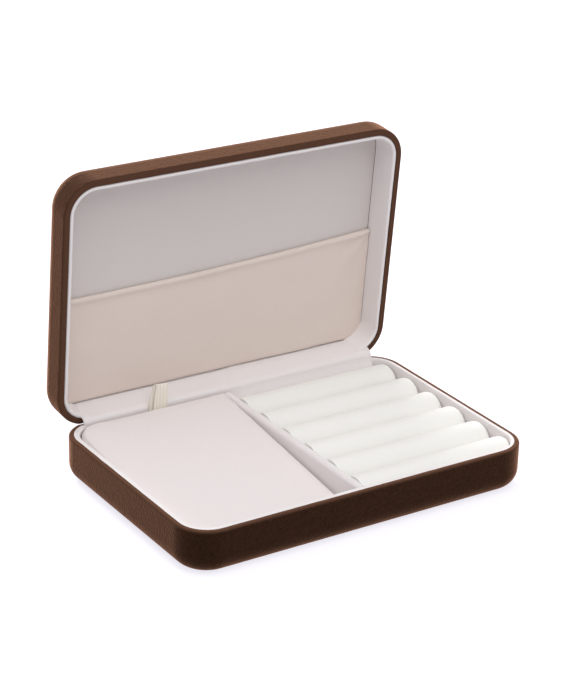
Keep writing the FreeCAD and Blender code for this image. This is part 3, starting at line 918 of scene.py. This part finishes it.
panel_profile = [(0, PANEL_FOOT), (0, PANEL_TOP - PANEL_EDGE)]
for i in range(1, PANEL_EDGE_STEPS + 1):
    angle = math.pi / 2 * i / PANEL_EDGE_STEPS
    panel_profile.append((
        PANEL_EDGE * (1 - math.cos(angle)), PANEL_TOP - PANEL_EDGE * (1 - math.sin(angle))
    ))
panel_rings = [
    [in_lid(x, y, z) for x, y in round_outline(PANEL_INSET + inset, PANEL_CORNER_STEPS)]
    for inset, z in panel_profile
]
panel = loft("lid_panel_velvet", panel_rings, panel_velvet_painted_shade)
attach(panel, "lid")
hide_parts("lid_panel")

# Lid pocket
# A piece of warm cream cloth, turned over the panel's sides and glued along the hinge edge. Its
# free edge is rolled into a hem with a round elastic, which keeps it tight.

POCKET_HALF_WIDTH = 84.9
POCKET_FOOT_Y = 56.8
POCKET_CORNER = 10.8
POCKET_LIE = 0.3
POCKET_RISE = 1.2
POCKET_FOOT_RISE = 1.0
POCKET_WAVE = 0.3
POCKET_SLANT_WAVE = 0.25
POCKET_RIPPLE = 0.5
RIPPLE_COUNT = 9
RIPPLE_REACH = 30.0
RIPPLE_START = 6.0
POCKET_THICK = 0.45
POCKET_TURN = 0.5
POCKET_GLUE = 1.8
HEM_Y = 2.9
HEM_SLOPE = -0.0297
HEM_SAG = 0.00023
HEM_RADIUS = 1.05
HEM_FADE = 1.6
HEM_ROLL = 270
HEM_STEPS = 9
POCKET_STEP = 2.2
POCKET_STEPS = 32
POCKET_CROWD = 0.85
COTTON_NAP = 0.45
COTTON_NAP_DEPTH = 0.1

# Brushed cotton: a short, uneven nap that hides the threads, drawn coarser than it is.
pocket_cloth, tree, shader, place = start_material(
    "brushed_cotton",
    {
        "Roughness": 0.88,
        "Specular IOR Level": 0.25,
        "Sheen Weight": 0.3,
        "Sheen Roughness": 0.5,
        "Sheen Tint": linear("#f6eee6"),
    },
)
nap = add_node(
    tree, "ShaderNodeTexNoise", None,
    {"Vector": place, "Scale": 1 / (COTTON_NAP * MM), "Detail": 3},
)
cream = add_node(
    tree, "ShaderNodeMix", {"data_type": "RGBA"},
    {0: nap.outputs["Fac"], 6: linear("#dacbc3"), 7: linear("#e7dad2")},
)
relief = add_node(
    tree, "ShaderNodeBump", None,
    {"Height": nap.outputs["Fac"], "Strength": 0.25, "Distance": COTTON_NAP_DEPTH * MM},
)
tree.links.new(cream.outputs[2], shader.inputs["Base Color"])
tree.links.new(relief.outputs["Normal"], shader.inputs["Normal"])


def hem_y(x):
    """Place of the hem's middle along the lid: a slanting line that sags between the sides."""
    return HEM_Y + HEM_SLOPE * x - HEM_SAG * x**2


def pocket_half_width(y):
    """Half width of the pocket at a place along the lid, drawn in round its lower corners."""
    past = y - (POCKET_FOOT_Y - POCKET_CORNER)
    if past <= 0:
        return POCKET_HALF_WIDTH
    past = min(past, POCKET_CORNER)
    return POCKET_HALF_WIDTH - POCKET_CORNER + math.sqrt(POCKET_CORNER**2 - past**2)


def pocket_hold(x, y):
    """0 where the cloth turns down at the panel's edge or is glued to it, 1 where it is free."""
    side = min(1, max(pocket_half_width(y) - abs(x), 0) / POCKET_TURN)
    foot = min(1, max(POCKET_FOOT_Y - y, 0) / POCKET_GLUE)
    return math.sqrt(1 - (1 - side * foot) ** 2)


def pocket_point(x, y, rise):
    """Place of the cloth's middle over the panel, in the open lid."""
    hold = pocket_hold(x, y)
    wave = POCKET_WAVE * noise.noise(Vector((x / 40, y / 14, 2.2)))
    slanting = Vector(((x + 2 * y) / 22, (y - 0.3 * x) / 60, 8.4))
    wave += POCKET_SLANT_WAVE * noise.noise(slanting)
    pull = Vector((POCKET_HALF_WIDTH - x, y - hem_y(POCKET_HALF_WIDTH)))
    fan = math.sin(RIPPLE_COUNT * math.atan2(pull.y, pull.x))
    fan *= math.exp(-pull.length / RIPPLE_REACH)
    wave += POCKET_RIPPLE * fan * (1 - math.exp(-pull.length / RIPPLE_START))
    return in_lid(x, y, PANEL_TOP + POCKET_LIE + hold * (rise - POCKET_LIE + wave))


pocket_columns = graded(round(2 * POCKET_HALF_WIDTH / POCKET_STEP), POCKET_CROWD)
pocket_rows = []
for step in range(HEM_STEPS + 1):
    angle = math.radians(HEM_ROLL * (1 - step / HEM_STEPS))
    row = []
    for across in pocket_columns:
        x = across * POCKET_HALF_WIDTH
        y = hem_y(x) - HEM_RADIUS * math.sin(angle)
        row.append(pocket_point(x, y, POCKET_RISE + HEM_RADIUS * math.cos(angle)))
    pocket_rows.append(row)
for step in range(1, POCKET_STEPS + 1):
    down = step / POCKET_STEPS
    down = 0.5 * down + 0.5 * (1 - math.cos(down * math.pi)) / 2
    row = []
    for across in pocket_columns:
        hem = hem_y(across * POCKET_HALF_WIDTH)
        y = hem + (POCKET_FOOT_Y - hem) * down
        bead = HEM_RADIUS * math.exp(-(((y - hem) / HEM_FADE) ** 2))
        rise = POCKET_RISE + POCKET_FOOT_RISE * down**1.5 + bead
        row.append(pocket_point(across * pocket_half_width(y), y, rise))
    pocket_rows.append(row)
width = len(pocket_columns)
mesh = bpy.data.meshes.new("lid_pocket_cloth")
mesh.from_pydata(
    [Vector(p) * MM for row in pocket_rows for p in row],
    [],
    [
        (i * width + j, i * width + j + 1, (i + 1) * width + j + 1, (i + 1) * width + j)
        for i in range(len(pocket_rows) - 1)
        for j in range(width - 1)
    ],
)
pocket = finish_mesh("lid_pocket_cloth", mesh, pocket_cloth)
body = pocket.modifiers.new("cloth_thickness", "SOLIDIFY")
body.thickness = POCKET_THICK * MM
body.offset = 0
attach(pocket, "lid")
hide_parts("lid_pocket")

# Hem elastic
# A round elastic of rubber strands braided over with white thread, drawn through the pocket's
# hem and held at the lid's sides.

BRAID = 0.5
ELASTIC_RADIUS = 0.6
ELASTIC_HALF_LENGTH = 83.0
ELASTIC_STEPS = 80
ELASTIC_FACETS = 10

# Braided elastic: pale threads, with darker gaps between them.
braided, tree, shader, place = start_material("braided_elastic", {"Roughness": 0.7})
braid = add_node(
    tree, "ShaderNodeTexVoronoi", None, {"Vector": place, "Scale": 1 / (BRAID * MM)}
)
thread = add_node(
    tree, "ShaderNodeMix", {"data_type": "RGBA"},
    {0: braid.outputs["Distance"], 6: linear("#e8e4df"), 7: linear("#bdb7b0")},
)
tree.links.new(thread.outputs[2], shader.inputs["Base Color"])
elastic_rings = []
for i in range(ELASTIC_STEPS + 1):
    x = ELASTIC_HALF_LENGTH * (2 * i / ELASTIC_STEPS - 1)
    ring = []
    for j in range(ELASTIC_FACETS):
        angle = 2 * math.pi * j / ELASTIC_FACETS
        y = hem_y(x) + ELASTIC_RADIUS * math.sin(angle)
        ring.append(pocket_point(x, y, POCKET_RISE + ELASTIC_RADIUS * math.cos(angle)))
    elastic_rings.append(ring)
elastic = loft("pocket_elastic_braid", elastic_rings, braided)
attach(elastic, "lid")
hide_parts("pocket_elastic")

# Studio
# A flat sheet of white paper under three soft boxes in an even white surround, with the camera
# where the photograph was taken. None of it belongs to the part.

FLOOR_HALF = 4.0
PAPER_GLOW = 0.35
PAPER_GLOW_SEEN = 0.84
SURROUND_GLOW = 0.48
LIGHT_TARGET = Vector((0, 0, 0.05))
CAMERA_PLACE = Vector((-0.5193, -0.7738, 0.4719))
CAMERA_YAW = math.radians(33.45)
CAMERA_PITCH = math.radians(-23.60)
CAMERA_ROLL = math.radians(1.68)
CAMERA_LENS = 117.22
CAMERA_SENSOR = 36.0

# White paper: matt, and burnt out to white in the picture without lighting the case from below.
paper, tree, shader, place = start_material(
    "white_paper",
    {
        "Base Color": linear("#9c9c9f"),
        "Roughness": 0.9,
        "Specular IOR Level": 0.0,
        "Emission Color": linear("#f6f3fb"),
    },
)
ray = add_node(tree, "ShaderNodeLightPath")
burnt_out = add_node(
    tree, "ShaderNodeMapRange", None,
    {"Value": ray.outputs["Is Camera Ray"], "To Min": PAPER_GLOW, "To Max": PAPER_GLOW_SEEN},
)
tree.links.new(burnt_out.outputs["Result"], shader.inputs["Emission Strength"])
mesh = bpy.data.meshes.new("paper_sweep")
mesh.from_pydata(
    [(x * FLOOR_HALF, y * FLOOR_HALF, 0) for x, y in ((-1, -1), (1, -1), (1, 1), (-1, 1))],
    [],
    [(0, 1, 2, 3)],
)
mesh.materials.append(paper)
sweep = bpy.data.objects.new("paper_sweep", mesh)
bpy.context.scene.collection.objects.link(sweep)

world = bpy.data.worlds.new("studio_white")
world.use_nodes = True
surround = world.node_tree.nodes["Background"]
surround.inputs["Color"].default_value = (1, 1, 1, 1)
surround.inputs["Strength"].default_value = SURROUND_GLOW
bpy.context.scene.world = world
bpy.context.scene.view_settings.view_transform = "Standard"


def soft_box(name, place, size, power):
    """Square area light that points at the case."""
    light = bpy.data.lights.new(name, "AREA")
    light.size = size
    light.energy = power
    lamp = bpy.data.objects.new(name, light)
    lamp.location = place
    aim = LIGHT_TARGET - Vector(place)
    lamp.rotation_euler = aim.to_track_quat("-Z", "Y").to_euler()
    bpy.context.scene.collection.objects.link(lamp)


soft_box("front_box", (-0.2, -1.0, 1.5), 1.4, 11.0)
soft_box("top_box", (-0.2, 0.0, 1.5), 1.6, 8.5)
soft_box("back_box", (0.15, 1.3, 0.9), 1.0, 32.0)

camera = bpy.data.objects.new("camera", bpy.data.cameras.new("camera"))
camera.data.lens = CAMERA_LENS
camera.data.sensor_width = CAMERA_SENSOR
ahead = Vector((
    math.sin(CAMERA_YAW) * math.cos(CAMERA_PITCH),
    math.cos(CAMERA_YAW) * math.cos(CAMERA_PITCH),
    math.sin(CAMERA_PITCH),
))
level = Vector((math.cos(CAMERA_YAW), -math.sin(CAMERA_YAW), 0))
rise = level.cross(ahead)
right = math.cos(CAMERA_ROLL) * level + math.sin(CAMERA_ROLL) * rise
up = math.cos(CAMERA_ROLL) * rise - math.sin(CAMERA_ROLL) * level
camera.matrix_world = (
    Matrix.Translation(CAMERA_PLACE) @ Matrix((right, up, -ahead)).transposed().to_4x4()
)
bpy.context.scene.collection.objects.link(camera)
bpy.context.scene.camera = camera
